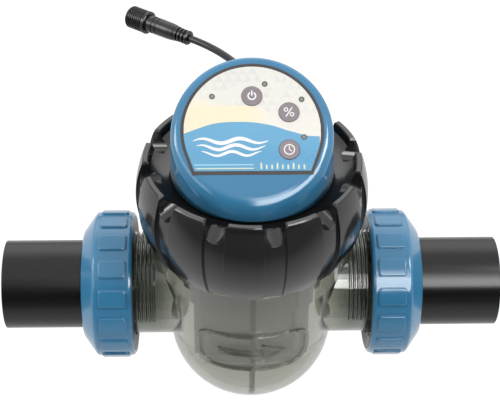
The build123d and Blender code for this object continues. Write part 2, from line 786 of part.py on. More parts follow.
with BuildPart() as supply_cable:
    cable_start, cable_bend = (axis_x, cable_start_y, cable_z), (axis_x, cable_bend_y, cable_z)
    with BuildLine() as run:
        Line(cable_start, cable_bend)
        Spline(
            cable_bend, (axis_x - 9.5, 85.0, cable_z), (axis_x - 22.4, 100.0, cable_z),
            along(-1.0), tangents=((0, 1, 0), plug_dir),
        )
        Line(along(-1.0), along(13.0))
    with BuildSketch(Plane(origin=cable_start, z_dir=(0, 1, 0))):
        Circle(cable_r)
    sweep(path=run.wires()[0])
finish(supply_cable, "supply_cable")

# the plug's outlines are (distance along the plug, radius)
turned("strain_relief", PLUG, PLUG_AXIS, [
    (-0.5, cable_clear_r), (-0.5, 3.9), (0.0, 4.3), (1.3, 4.3), (1.3, 3.2), (2.6, 3.2),
    (2.6, 4.2), (3.8, 4.2), (3.8, 3.2), (5.1, 3.2), (5.1, 4.2), (6.3, 4.2), (6.3, 3.3),
    (7.4, 3.3), (7.4, 4.4), (8.6, 4.45), (8.6, cable_clear_r),
])

turned("connector_body", PLUG, PLUG_AXIS, [
    (8.6, cable_clear_r), (8.6, 4.45), (10.0, 4.75), (13.5, 5.05), (21.4, 5.15), (21.4, 4.75),
    (22.3, 4.75), (22.3, 5.1), (24.2, 5.1), (24.2, 4.75), (25.1, 4.75), (25.1, 5.2),
    (29.2, 5.2), (29.2, 4.5), (34.1, 4.5), (34.1, 5.2), (35.3, 5.2), (35.3, 4.5), (40.2, 4.5),
    (40.6, 4.1), (40.6, 3.6), (33.8, 3.6), (33.8, 0), (13.2, 0), (13.2, cable_clear_r),
])

shell_outline = [
    (29.25, 4.57), (29.25, 6.5), (29.65, 6.9), (31.4, 6.9), (31.7, 6.6), (31.7, 6.15),
    (42.6, 6.15), (43.1, 6.1), (43.4, 5.8), (43.4, 5.5), (33.95, 5.5), (33.95, 4.57),
]

# fixed shell with the outside thread that the lead's coupling screws on to
with BuildPart() as threaded_shell:
    with BuildSketch(PLUG):
        Polygon(*shell_outline, align=None)
    revolve(axis=PLUG_AXIS)
    with BuildSketch(PLUG):
        for i in range(8):
            Polygon(*tooth(32.6 + 1.35 * i, 0.55, 6.0, 0.18, 6.75), align=None)
    revolve(axis=PLUG_AXIS)
finish(threaded_shell, "threaded_shell")

seal_ring("connector_seal", PLUG, PLUG_AXIS, (35.9, 4.97), 0.44)

with BuildPart() as connector_insert:
    with BuildSketch(Plane(origin=along(insert_at), z_dir=plug_dir)):
        Circle(3.55)
        with PolarLocations(pin_circle_r, 4):
            Circle(0.55, mode=Mode.SUBTRACT)
    extrude(amount=2.2)
finish(connector_insert, "connector_insert")

with BuildPart() as contact_pins:
    with BuildSketch(Plane(origin=along(pins_at), z_dir=plug_dir)):
        with PolarLocations(pin_circle_r, 4):
            Circle(0.5)
    extrude(amount=6.0)
finish(contact_pins, "contact_pins")
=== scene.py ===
"""Looks of a salt chlorine generator cell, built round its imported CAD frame.

The pipe axis is x at y = z = 0, running from the inlet end (x = 0) to the outlet. The front is -y
and +z is up. The vessel hangs at mid length; the blue head above it has a key panel that leans
back. Scene units are metres; product sizes are given in mm and multiplied by MM.
"""
import math

import bpy
import bmesh
from mathutils import Matrix, Vector
from mathutils.bvhtree import BVHTree
from mathutils.geometry import tessellate_polygon


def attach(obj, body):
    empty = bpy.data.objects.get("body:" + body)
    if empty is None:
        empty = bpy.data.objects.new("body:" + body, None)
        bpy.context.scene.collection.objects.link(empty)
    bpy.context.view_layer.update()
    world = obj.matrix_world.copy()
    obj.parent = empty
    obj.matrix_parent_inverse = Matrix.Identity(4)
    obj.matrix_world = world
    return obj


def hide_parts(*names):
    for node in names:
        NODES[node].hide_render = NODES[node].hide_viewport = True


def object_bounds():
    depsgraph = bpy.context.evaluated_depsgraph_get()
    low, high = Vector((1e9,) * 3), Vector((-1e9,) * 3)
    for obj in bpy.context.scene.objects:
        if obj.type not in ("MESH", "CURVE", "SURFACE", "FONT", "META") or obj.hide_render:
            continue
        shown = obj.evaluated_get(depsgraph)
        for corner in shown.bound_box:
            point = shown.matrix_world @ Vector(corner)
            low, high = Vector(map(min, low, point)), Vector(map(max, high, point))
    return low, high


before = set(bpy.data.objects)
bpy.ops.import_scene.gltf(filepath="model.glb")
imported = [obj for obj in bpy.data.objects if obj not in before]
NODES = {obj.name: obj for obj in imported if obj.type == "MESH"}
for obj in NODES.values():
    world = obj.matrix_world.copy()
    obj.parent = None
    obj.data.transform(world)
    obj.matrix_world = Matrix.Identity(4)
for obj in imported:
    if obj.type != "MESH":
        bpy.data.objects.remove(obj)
cad_low, cad_high = [list(corner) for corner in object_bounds()]

MM = 0.001
VESSEL_X = 139.0                            # vessel axis
PANEL_TILT = math.radians(34.2)
PANEL = Vector((VESSEL_X, -8.2, 115.3))     # origin of the panel plane
ACROSS = Vector((1, 0, 0))
UPWARD = Vector((0, math.cos(PANEL_TILT), math.sin(PANEL_TILT)))
OUTWARD = Vector((0, -math.sin(PANEL_TILT), math.cos(PANEL_TILT)))

CENTRE_LINE = -0.4                          # panel x of the head's symmetry line
KEY_HOLE_RADIUS = 5.5
KEYS = {                                    # key centres: panel x, panel y
    "power_key": (CENTRE_LINE, 18.0),
    "output_key": (18.7, 9.0),
    "timer_key": (18.5, -11.4),
}


def panel_point(x, y, height=0.0):
    """Scene point from mm across the panel, up it and out of it."""
    return (PANEL + ACROSS * x + UPWARD * y + OUTWARD * height) * MM


# ---------------------------------------------------------------------------
# shader node helpers
# ---------------------------------------------------------------------------
def srgb(red, green, blue):
    def linear(value):
        value /= 255.0
        return value / 12.92 if value <= 0.04045 else ((value + 0.055) / 1.055) ** 2.4
    return (linear(red), linear(green), linear(blue), 1.0)


def scaled(colour, factor, lift=0.0):
    return tuple(min(1.0, c * factor + lift) for c in colour[:3]) + (1.0,)


class Nodes:
    """Short calls that add nodes to one node tree. A value is a number, a tuple or a socket."""

    def __init__(self, tree):
        self.tree = tree
        tree.nodes.clear()

    def link(self, value, socket):
        if hasattr(value, "is_linked"):
            self.tree.links.new(value, socket)
        else:
            socket.default_value = value

    def node(self, kind, inputs=None, **settings):
        new = self.tree.nodes.new("ShaderNode" + kind)
        for name, value in settings.items():
            setattr(new, name, value)
        for key, value in (inputs or {}).items():
            self.link(value, new.inputs[key])
        return new

    def math(self, operation, a, b=0.0, c=0.0):
        return self.node("Math", {0: a, 1: b, 2: c}, operation=operation).outputs[0]

    def vector_math(self, operation, a, b=(0, 0, 0)):
        new = self.node("VectorMath", {0: a, 1: b}, operation=operation)
        return new.outputs["Value" if operation == "DOT_PRODUCT" else "Vector"]

    def separate(self, vector):
        return self.node("SeparateXYZ", {0: vector}).outputs

    def span(self, value, source, to=(0.0, 1.0), **settings):
        """Map the range source onto the range to, clamped."""
        inputs = dict(enumerate((value, *source, *to)))
        return self.node("MapRange", inputs, **settings).outputs[0]

    def ease(self, value, source, to=(0.0, 1.0)):
        """A span with soft ends."""
        return self.span(value, source, to, interpolation_type="SMOOTHSTEP")

    def mix(self, factor, a, b):
        return self.node("Mix", {0: factor, 6: a, 7: b}, data_type="RGBA").outputs[2]

    def dimmed(self, flag, amount):
        """1, less amount where the flag is on."""
        return self.math("SUBTRACT", 1.0, self.math("MULTIPLY", flag, amount))

    def switch(self, flag, off, on):
        kept = self.math("MULTIPLY", off, self.math("SUBTRACT", 1.0, flag))
        return self.math("ADD", kept, self.math("MULTIPLY", flag, on))


class Surface(Nodes):
    """A material with one principled shader, textured in object coordinates."""

    def __init__(self, name):
        self.material = bpy.data.materials.new(name)
        self.material.use_nodes = True
        super().__init__(self.material.node_tree)
        self.output = self.node("OutputMaterial")
        self.shader = self.node("BsdfPrincipled")
        self.link(self.shader.outputs[0], self.output.inputs[0])
        self.coord = self.node("TexCoord").outputs["Object"]

    def noise(self, scale, detail=3.0, rough=0.5, stretch=None):
        vector = self.coord
        if stretch:
            vector = self.vector_math("MULTIPLY", vector, stretch)
        inputs = {"Scale": scale, "Detail": detail, "Roughness": rough, "Vector": vector}
        return self.node("TexNoise", inputs).outputs["Fac"]

    def bump(self, height, strength, distance, normal=None):
        inputs = {"Strength": strength, "Distance": distance, "Height": height}
        if normal is not None:
            inputs["Normal"] = normal
        return self.node("Bump", inputs).outputs[0]

    def shade(self, **inputs):
        """Fill shader inputs, written with _ for each space, and give the material."""
        for name, value in inputs.items():
            self.link(value, self.shader.inputs[name.replace("_", " ")])
        return self.material


# ---------------------------------------------------------------------------
# part materials
# ---------------------------------------------------------------------------
def moulded(name, base, rough, fleck=0.03, grain=1500.0, bump=0.03, coat=0.0, spread=0.05,
            bevel=0.0):
    """Moulded plastic: fleck is colour variation, spread is the drift of the roughness."""
    s = Surface(name)
    slow = s.noise(scale=18.0, detail=2.0)
    fine = s.noise(scale=240.0, detail=4.0, rough=0.6)
    dark = scaled(base, 1 - fleck * 2.2)
    light = scaled(base, 1 + fleck * 2.2, lift=0.002)
    colour = s.mix(s.span(slow, (0.3, 0.7)), dark, light)
    colour = s.mix(s.span(fine, (0.35, 0.65), to=(0.0, fleck * 3)), colour, light)
    rubbed = s.noise(scale=35.0, detail=4.0, rough=0.6)
    roughness = s.math("ADD", s.span(rubbed, (0.3, 0.7), to=(rough - spread, rough + spread)),
                       s.span(fine, (0.3, 0.7), to=(-0.015, 0.015)))
    edge = s.node("Bevel", {"Radius": bevel}, samples=6).outputs[0] if bevel else None
    normal = s.bump(s.noise(scale=grain, detail=2.0), strength=bump, distance=0.0002,
                    normal=edge)
    return s.shade(Base_Color=colour, Roughness=roughness, Normal=normal, IOR=1.5,
                   Coat_Weight=coat, Coat_Roughness=0.06)


def extruded_pipe():
    """Black pipe with streaks drawn out along x."""
    s = Surface("black_pipe_extruded")
    streak = s.noise(scale=60.0, detail=5.0, rough=0.6, stretch=(0.04, 3.0, 3.0))
    fine = s.noise(scale=420.0, rough=0.6)
    groove = s.noise(scale=500.0, detail=2.0, stretch=(0.05, 2.0, 2.0))
    colour = s.mix(s.span(streak, (0.3, 0.7)), srgb(8, 9, 10), srgb(13, 14, 15))
    roughness = s.math("ADD", s.span(streak, (0.3, 0.7), to=(0.19, 0.25)),
                       s.span(fine, (0.3, 0.7), to=(-0.01, 0.01)))
    return s.shade(Base_Color=colour, Roughness=roughness, IOR=1.46,
                   Normal=s.bump(groove, strength=0.015, distance=0.0002))


def brushed_metal(name, colour, rough, stretch=(1, 1, 1)):
    s = Surface(name)
    brush = s.noise(scale=900.0, rough=0.6, stretch=stretch)
    return s.shade(
        Base_Color=s.mix(s.span(brush, (0.3, 0.7)), scaled(colour, 0.94), scaled(colour, 1.06)),
        Roughness=s.span(brush, (0.3, 0.7), to=(rough - 0.06, rough + 0.06)),
        Metallic=1.0,
        Normal=s.bump(brush, strength=0.05, distance=0.0001))


def coated_titanium():
    """Dull oxide coat, speckled."""
    s = Surface("oxide_coated_titanium")
    speckle = s.noise(scale=700.0, detail=4.0, rough=0.7)
    slow = s.noise(scale=30.0, detail=2.0)
    colour = s.mix(s.span(speckle, (0.35, 0.65)), srgb(152, 152, 148), srgb(178, 177, 171))
    colour = s.mix(s.span(slow, (0.35, 0.65), to=(0, 0.35)), colour, srgb(158, 157, 155))
    return s.shade(Base_Color=colour, Metallic=0.6,
                   Roughness=s.span(speckle, (0.3, 0.7), to=(0.45, 0.6)),
                   Normal=s.bump(speckle, strength=0.15, distance=0.0001))


def smoked_clear(name, tint, rough, absorb=0.0):
    """Smoke-tinted clear plastic with flow marks. absorb is the density of the tint in the
    wall; with it the wall round the side ports also gets painted shade, a darker base colour."""
    s = Surface(name)
    slow = s.noise(scale=22.0, detail=2.0)
    flow = s.noise(scale=40.0, stretch=(1.0, 1.0, 0.35))
    colour = s.mix(s.span(slow, (0.3, 0.7)), scaled(tint, 0.96), tint)
    if absorb:
        x, _, z = s.separate(s.coord)
        off_axis = s.math("ABSOLUTE", s.math("SUBTRACT", x, VESSEL_X * MM))
        # painted shade: near the side ports the base colour is pulled towards a dark grey-green,
        # standing for the dark parts seen through the wall
        port_shade = s.math("MULTIPLY", s.ease(off_axis, (0.040, 0.056)),
                      s.ease(z, (-0.026, -0.012), to=(0.25, 1.0)))
        colour = s.mix(s.math("MULTIPLY", port_shade, 0.85), colour, srgb(125, 134, 124))
        smoke = s.node("VolumeAbsorption", {"Density": absorb, "Color": (0.36, 0.375, 0.31, 1)})
        s.link(smoke.outputs[0], s.output.inputs["Volume"])
    return s.shade(Base_Color=colour, Roughness=s.span(flow, (0.3, 0.7), to=(rough * 0.8, rough * 1.2)),
                   IOR=1.49, Normal=s.bump(flow, strength=0.02, distance=0.0008),
                   Coat_Weight=0.6, Coat_Roughness=0.07, Transmission_Weight=0.95)


looks = {
    "blue": moulded("blue_gloss", srgb(52, 121, 161), rough=0.15, fleck=0.02, grain=700,
                    bump=0.014, coat=0.45, spread=0.03, bevel=0.00035),
    "black": moulded("black_satin", srgb(24, 24, 25), rough=0.32, fleck=0.06, grain=1800,
                     bump=0.05, coat=0.10, bevel=0.0003),
    "ring": moulded("black_ring_gloss", srgb(22, 22, 22), rough=0.19, fleck=0.06, grain=1300,
                    bump=0.018, coat=0.35, spread=0.04, bevel=0.0005),
    "cable": moulded("cable_jacket", srgb(18, 19, 20), rough=0.30, fleck=0.06, grain=2200,
                     bump=0.04),
    "plug": moulded("plug_black", srgb(19, 20, 21), rough=0.30, fleck=0.06, coat=0.1,
                    bevel=0.0002),
    "rubber": moulded("seal_rubber", srgb(26, 26, 26), rough=0.55, fleck=0.08, grain=2500,
                      bump=0.1),
    "comb": moulded("comb_natural", srgb(150, 152, 146), rough=0.45),
    "header": moulded("header_ivory", srgb(214, 209, 192), rough=0.45, fleck=0.02),
    "wire": moulded("wire_red", srgb(150, 28, 24), rough=0.4),
    "pipe": extruded_pipe(),
    "steel": brushed_metal("stainless_steel", srgb(190, 188, 184), rough=0.3),
    "titanium": brushed_metal("titanium_plain", srgb(176, 174, 168), rough=0.40,
                              stretch=(0.2, 1, 1)),
    "anode": coated_titanium(),
    "brass": brushed_metal("plated_contact", srgb(214, 178, 96), rough=0.25),
    "clear": smoked_clear("clear_smoke", srgb(228, 229, 220), rough=0.05, absorb=60.0),
    "mark": smoked_clear("clear_smoke_mark", srgb(196, 200, 190), rough=0.06),
    "lens": moulded("lens_frosted", srgb(140, 146, 132), rough=0.22, fleck=0.02, grain=2000,
                    bump=0.02, coat=0.4),
    "board": moulded("board_mask", srgb(24, 96, 56), rough=0.35, fleck=0.05),
    "led": moulded("led_body", srgb(226, 222, 196), rough=0.25, fleck=0.02),
    "key": moulded("key_mauve_grey", srgb(138, 128, 134), rough=0.38, grain=1800),
    "border": moulded("label_border", srgb(56, 52, 53), rough=0.4, fleck=0.02, grain=1600,
                      bump=0.02),
}

# The frame carries this plug part under one of two names.
PLUG_SHELL = "coupling_nut" if "coupling_nut" in NODES else "threaded_shell"

PART_LOOKS = {
    "clear": ["cell_housing"],
    "ring": ["lock_ring"],
    "black": ["cell_cap", "base_plate", "tact_switches"],
    "rubber": ["cap_oring", "inlet_oring", "outlet_oring", "terminal_seals", "connector_seal",
               "head_gasket"],
    "blue": ["head_cover", "inlet_nut", "outlet_nut"],
    "steel": ["base_screws", "board_screws", "terminal_nuts", "terminal_washers", "rod_nuts"],
    "border": ["control_label"],
    "key": ["power_button", "output_button", "timer_button"],
    "lens": ["indicator_lenses"],
    "board": ["circuit_board"],
    "led": ["status_leds"],
    "header": ["board_header"],
    "anode": ["anode_plates"],
    "titanium": ["cathode_plates", "anode_terminal", "cathode_terminal"],
    "comb": ["upper_comb", "lower_comb", "tie_rods"],
    "wire": ["lead_wires"],
    "pipe": ["inlet_tail", "outlet_tail"],
    "cable": ["cable_gland", "supply_cable"],
    "plug": ["strain_relief", "connector_body", PLUG_SHELL, "connector_insert"],
    "brass": ["contact_pins"],
}
for look, parts in PART_LOOKS.items():
    for part in parts:
        node = NODES[part]
        if not node.material_slots:
            node.data.materials.append(looks[look])
        for slot in node.material_slots:
            slot.link = "OBJECT"
            slot.material = looks[look]


# ---------------------------------------------------------------------------
# label materials
# ---------------------------------------------------------------------------
def panel_coords(s, *axes):
    """Position along each panel axis, in mm, inside a material."""
    offset = s.vector_math("SUBTRACT", s.coord, tuple(c * MM for c in PANEL))
    return [s.math("MULTIPLY", s.vector_math("DOT_PRODUCT", offset, tuple(axis)), 1000.0)
            for axis in axes]


def film_finish(s, colour):
    """Screen-printed film: ink mottle and fine orange peel."""
    mottle = s.noise(scale=900.0, rough=0.6)
    drift = s.noise(scale=30.0, detail=2.0)
    colour = s.mix(s.span(mottle, (0.35, 0.65), to=(0.0, 0.06)), colour, (0.25, 0.25, 0.25, 1))
    roughness = s.math("ADD", s.span(drift, (0.3, 0.7), to=(0.26, 0.35)),
                       s.span(mottle, (0.3, 0.7), to=(-0.02, 0.02)))
    return s.shade(Base_Color=colour, Roughness=roughness, Coat_Weight=0.15,
                   Coat_Roughness=0.15, Normal=s.bump(mottle, strength=0.03, distance=0.0001))


def white_film():
    """Off-white field with a faint patchy triangle mesh on its upper part."""
    mesh_pitch = 4.3
    s = Surface("label_white_print")
    x, y = panel_coords(s, ACROSS, UPWARD)
    # count stripes in three directions; odd totals make the triangles
    total = 0.0
    for degrees in (30.0, 90.0, 150.0):
        angle = math.radians(degrees)
        along = s.math("ADD", s.math("MULTIPLY", x, math.cos(angle)),
                       s.math("MULTIPLY", y, math.sin(angle)))
        stripe = s.math("FLOOR", s.math("MULTIPLY", along, 1 / mesh_pitch))
        total = s.math("ADD", total, stripe)
    odd = s.math("FRACT", s.math("MULTIPLY", total, 0.5))
    triangles = s.span(s.math("ABSOLUTE", odd), (0.2, 0.4))
    cells = s.node("TexVoronoi", {"Scale": 190.0, "Vector": s.coord}).outputs["Color"]
    patches = s.ease(s.vector_math("DOT_PRODUCT", cells, (0.6, 0.3, 0.1)), (0.35, 0.65))
    fade = s.math("MULTIPLY", s.ease(y, (4.0, 14.0)), patches)
    tint = s.mix(s.span(y, (-5.0, 34.0)), srgb(233, 229, 220), srgb(227, 225, 218))
    strength = s.math("MULTIPLY", s.math("MULTIPLY", triangles, fade), 0.34)
    return film_finish(s, s.mix(strength, tint, srgb(196, 202, 206)))


def glow_film():
    """Cream that fades out to the right and towards the top."""
    s = Surface("label_glow_print")
    x, y = panel_coords(s, ACROSS, UPWARD)
    fade = s.math("MULTIPLY", s.ease(x, (-4.0, 12.0), to=(1.0, 0.0)),
                  s.ease(y, (10.0, 17.5), to=(1.0, 0.25)))
    return film_finish(s, s.mix(fade, srgb(234, 230, 221), srgb(247, 229, 199)))


def blue_film():
    """Light blue, paler towards the top, with faint ripples."""
    s = Surface("label_blue_print")
    (y,) = panel_coords(s, UPWARD)
    ripple = s.noise(scale=120.0, stretch=(0.4, 1.0, 1.0))
    colour = s.mix(s.ease(y, (-22.0, 4.0)), srgb(90, 157, 197), srgb(101, 166, 203))
    colour = s.mix(s.span(ripple, (0.35, 0.65), to=(0.0, 0.10)), colour, srgb(140, 198, 230))
    return film_finish(s, colour)


def ink(name, colour):
    s = Surface(name)
    mottle = s.noise(scale=800.0, rough=0.6)
    return s.shade(Base_Color=s.mix(s.span(mottle, (0.35, 0.65)), scaled(colour, 0.94), colour),
                   Roughness=s.span(mottle, (0.3, 0.7), to=(0.27, 0.37)),
                   Normal=s.bump(mottle, strength=0.03, distance=0.0001))


white_ink = ink("ink_white", srgb(240, 240, 238))
cyan_ink = ink("ink_pale_cyan", srgb(166, 214, 232))
cream_ink = ink("ink_pale_cream", srgb(222, 226, 196))
bezel_ink = ink("lens_bezel_ink", srgb(74, 76, 74))


# ---------------------------------------------------------------------------
# mesh helpers
# ---------------------------------------------------------------------------
def link_mesh(name, mesh_data, material, body):
    """Turn a finished bmesh into an object that rides on a body of the frame."""
    mesh = bpy.data.meshes.new(name)
    bmesh.ops.recalc_face_normals(mesh_data, faces=mesh_data.faces)
    mesh_data.to_mesh(mesh)
    mesh_data.free()
    mesh.materials.append(material)
    made = bpy.data.objects.new(name, mesh)
    bpy.context.scene.collection.objects.link(made)
    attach(made, body)
    return made


def add_face(mesh_data, corners):
    # bmesh refuses a face that repeats a corner or another face; such a face is left out
    try:
        return mesh_data.faces.new(corners)
    except ValueError:
        return None


def new_object(name, points, faces, material, body, smooth=False):
    mesh_data = bmesh.new()
    verts = [mesh_data.verts.new(point) for point in points]
    for corners in faces:
        made = add_face(mesh_data, [verts[i] for i in corners])
        if made:
            made.smooth = smooth
    bmesh.ops.remove_doubles(mesh_data, verts=mesh_data.verts, dist=1e-7)
    return link_mesh(name, mesh_data, material, body)


def plates(name, shapes, place, material, body):
    """Closed thin plates. A shape is an outline followed by its holes, in mm; place gives the
    top and bottom scene points of an outline point."""
    points, faces = [], []
    for loops in shapes:
        flat = [point for loop in loops for point in loop]
        top = len(points)
        bottom = top + len(flat)
        tops, bottoms = zip(*(place(x, y) for x, y in flat))
        points += tops + bottoms
        for triangle in tessellate_polygon([[Vector((x, y, 0)) for x, y in p] for p in loops]):
            a, b, c = [flat[i] for i in triangle]
            if (b[0] - a[0]) * (c[1] - a[1]) - (b[1] - a[1]) * (c[0] - a[0]) < 0:
                triangle = (triangle[0], triangle[2], triangle[1])
            faces.append([top + i for i in triangle])
            faces.append([bottom + i for i in reversed(triangle)])
        first = 0
        for loop in loops:
            for i in range(len(loop)):
                here = first + i
                following = first + (i + 1) % len(loop)
                faces.append([top + following, top + here, bottom + here, bottom + following])
            first += len(loop)
    return new_object(name, points, faces, material, body)


def film(name, shapes, bottom, top, material, body="head"):
    """One printed layer between two heights over the panel, outlined in panel mm."""
    def place(x, y):
        return panel_point(x, y, top), panel_point(x, y, bottom)
    plates(name, shapes, place, material, body)


# ---------------------------------------------------------------------------
# outlines: lists of (x, y) in mm; a shape is a list of them, holes last
# ---------------------------------------------------------------------------
def arc(x, y, radius, start, end, steps):
    angles = [math.radians(start + (end - start) * i / steps) for i in range(steps + 1)]
    return [(x + radius * math.cos(a), y + radius * math.sin(a)) for a in angles]


def circle(x, y, radius, steps):
    return arc(x, y, radius, 0, 360, steps)[:-1]


def ring(x, y, outer, inner, steps):
    return [circle(x, y, outer, steps), circle(x, y, inner, steps)]


def open_ring(x, y, outer, inner, start, end, steps=40):
    """Ring drawn from angle start to angle end, with round ends."""
    middle, cap = (outer + inner) / 2, (outer - inner) / 2

    def round_end(angle, turn):
        at = math.radians(angle)
        return arc(x + middle * math.cos(at), y + middle * math.sin(at), cap,
                   angle + turn, angle + turn + 180, 8)[1:-1]

    return [arc(x, y, outer, start, end, steps) + round_end(end, 0)
            + arc(x, y, inner, end, start, steps) + round_end(start, 180)]


def bar(x0, y0, x1, y1, width):
    """Straight stroke with round ends."""
    angle = math.degrees(math.atan2(y1 - y0, x1 - x0))
    return [arc(x1, y1, width / 2, angle - 90, angle + 90, 8)
            + arc(x0, y0, width / 2, angle + 90, angle + 270, 8)]


def ribbon(points, width):
    """Flowing stroke that swells in the middle and tapers at both ends."""
    last = len(points) - 1
    upper, lower = [], []
    for i, (x, y) in enumerate(points):
        before, after = points[max(i - 1, 0)], points[min(i + 1, last)]
        dx, dy = after[0] - before[0], after[1] - before[1]
        length = math.hypot(dx, dy)
        part = min(max(i / last, 0.001), 0.999)
        half = width / 2 * (0.12 + 0.88 * math.sin(math.pi * part) ** 0.7)
        upper.append((x - dy / length * half, y + dx / length * half))
        lower.append((x + dy / length * half, y - dx / length * half))
    return [upper + lower[::-1]]


def swell(x0, x1, y, height, phase, cycles=2.0, steps=60):
    """Points of a sine wave about the level y."""
    return [(x0 + (x1 - x0) * i / steps,
             y + height * math.sin(phase + 2 * math.pi * cycles * i / steps))
            for i in range(steps + 1)]


def key_hole(key):
    return circle(*KEYS[key], KEY_HOLE_RADIUS, 64)


# ---------------------------------------------------------------------------
# printed label, all in panel mm
# ---------------------------------------------------------------------------
FIELD_CENTRE_Y = -0.967         # centre of the round part of the printed field
FIELD_RADIUS = 35.42
FIELD_REACH = 35.3              # half width that is drawn
FIELD_FOOT = -22.7              # straight lower edge
SIDE_TOP = (33.15, -13.45)      # two points on the slanting side: distance from centre line, y
SIDE_LOW = (29.35, -24.15)
FIELD_LEFT, FIELD_RIGHT = CENTRE_LINE - FIELD_REACH, CENTRE_LINE + FIELD_REACH

# upper edge of the blue field: x, y
WAVE = [
    (-35.9, -2.5), (-29.7, -0.1), (-24.7, 1.7), (-19.7, 3.1), (-14.7, 3.7), (-9.7, 3.9),
    (-5.7, 3.9), (-2.2, 3.8), (1.8, 3.4), (5.3, 2.8), (10.3, 1.7), (12.8, 0.9),
    (17.7, -0.9), (20.2, -1.6), (25.2, -3.1), (27.7, -3.8), (31.2, -4.1), (35.2, -4.3),
]
# upper edge of the cream glow: x, y
GLOW = [
    (-36.5, 18.6), (-30.7, 17.4), (-24.7, 15.8), (-18.6, 13.3), (-7.1, 12.7), (2.9, 12.1),
    (8.4, 8.8), (13.3, 4.1), (15.4, 0.6),
]


def curve_height(points, x):
    """Height at x of a smooth cubic through the points, held level past the ends."""
    if x <= points[0][0]:
        return points[0][1]
    if x >= points[-1][0]:
        return points[-1][1]
    i = next(i for i in range(len(points) - 1) if points[i][0] <= x <= points[i + 1][0])
    before, start, end = points[max(i - 1, 0)], points[i], points[i + 1]
    after = points[min(i + 2, len(points) - 1)]
    width = end[0] - start[0]
    t = (x - start[0]) / width
    slope_start = (end[1] - before[1]) / (end[0] - before[0]) * width
    slope_end = (after[1] - start[1]) / (after[0] - start[0]) * width
    return ((2 * t**3 - 3 * t**2 + 1) * start[1] + (t**3 - 2 * t**2 + t) * slope_start
            + (-2 * t**3 + 3 * t**2) * end[1] + (t**3 - t**2) * slope_end)


def field_span(x):
    """Lowest and highest point of the printed field at x."""
    off_centre = abs(x - CENTRE_LINE)
    half_chord = math.sqrt(max(FIELD_RADIUS**2 - off_centre**2, 0.0))
    slope = (SIDE_TOP[1] - SIDE_LOW[1]) / (SIDE_TOP[0] - SIDE_LOW[0])
    low = max(FIELD_FOOT, SIDE_TOP[1] + (off_centre - SIDE_TOP[0]) * slope)
    if off_centre > SIDE_TOP[0]:
        low = max(low, FIELD_CENTRE_Y - half_chord)
    return low, FIELD_CENTRE_Y + half_chord


def band(lower=None, upper=None, right=FIELD_RIGHT, steps=120):
    """Outline of the printed field between two height functions, from its left end to right."""
    lows, highs = [], []
    for i in range(steps + 1):
        x = FIELD_LEFT + (right - FIELD_LEFT) * i / steps
        low, high = field_span(x)
        if lower:
            low = max(low, lower(x))
        if upper:
            high = min(high, upper(x))
        if high - low > 0.02:
            lows.append((x, low))
            highs.append((x, high))
    return lows + highs[::-1]


def wave_height(x):
    return curve_height(WAVE, x)


def printed_fields():
    film("label_white_field", [[band(steps=160)] + [key_hole(key) for key in KEYS]],
         bottom=0.03, top=0.13, material=white_film())
    glow = band(lower=lambda x: wave_height(x) - 0.3, upper=lambda x: curve_height(GLOW, x),
                right=15.0)
    film("label_glow_field", [[glow]], bottom=0.05, top=0.145, material=glow_film())
    film("label_wave_field", [[band(upper=wave_height), key_hole("timer_key")]],
         bottom=0.05, top=0.16, material=blue_film())


def printed_strokes():
    """Three wavy lines, two pointed stripes and a row of upright ticks over the blue field."""
    layer = {"bottom": 0.06, "top": 0.175}
    film("label_water_lines", [
        ribbon(swell(-31.0, 7.8, y=-6.4, height=1.25, phase=0.0), width=2.1),
        ribbon(swell(-29.2, 6.4, y=-9.9, height=1.25, phase=0.7), width=1.9),
        ribbon(swell(-26.8, 4.2, y=-13.3, height=1.15, phase=1.4), width=1.6),
    ], material=white_ink, **layer)
    film("label_cyan_stripe", [[[
        (-29.6, -19.65), (-0.2, -19.65), (0.1, -19.35),
        (-0.2, -19.05), (-30.2, -19.05), (-30.5, -19.35),
    ]]], material=cyan_ink, **layer)
    film("label_cream_stripe", [[[
        (-29.0, -21.6), (0.0, -21.6), (0.3, -21.3),
        (0.0, -21.0), (-29.4, -21.0), (-29.7, -21.3),
    ]]], material=cream_ink, **layer)
    tick_x, tick_pitch, tick_foot = 4.0, 2.75, -21.4
    ticks = []
    for i in range(9):
        x = tick_x + i * tick_pitch
        length = 1.6 if i % 3 else 2.6
        ticks.append(bar(x, tick_foot, x, tick_foot + length, width=0.9))
    film("label_tally", ticks, material=cream_ink, **layer)


def key_symbols():
    layer = {"bottom": 0.55, "top": 0.66, "material": white_ink}
    # broken ring with an upright stroke
    x, y = KEYS["power_key"]
    film("power_symbol", [
        open_ring(x, y, outer=2.35, inner=1.6, start=128, end=412),
        bar(x, y + 0.4, x, y + 2.7, width=0.75),
    ], body="power_key", **layer)
    # percent sign
    x, y = KEYS["output_key"]
    film("output_symbol", [
        ring(x - 1.55, y + 1.35, outer=1.2, inner=0.65, steps=28),
        ring(x + 1.55, y - 1.25, outer=1.2, inner=0.65, steps=28),
        bar(x - 1.5, y - 2.3, x + 1.6, y + 2.4, width=0.6),
    ], body="output_key", **layer)
    # clock face with two hands
    x, y = KEYS["timer_key"]
    film("timer_symbol", [
        ring(x, y, outer=2.9, inner=2.3, steps=48),
        bar(x, y, x, y + 1.65, width=0.5),
        bar(x, y, x + 1.05, y - 0.75, width=0.5),
    ], body="timer_key", **layer)


def lens_bezels():
    """Dark rings round the indicator lenses."""
    lenses = [(-21.1, 17.9), (6.4, 24.7), (25.4, 16.1), (26.2, -4.6)]
    film("lens_bezels", [ring(x, y, outer=1.5, inner=0.95, steps=28) for x, y in lenses],
         bottom=0.12, top=0.27, material=bezel_ink)


printed_fields()
printed_strokes()
key_symbols()
lens_bezels()

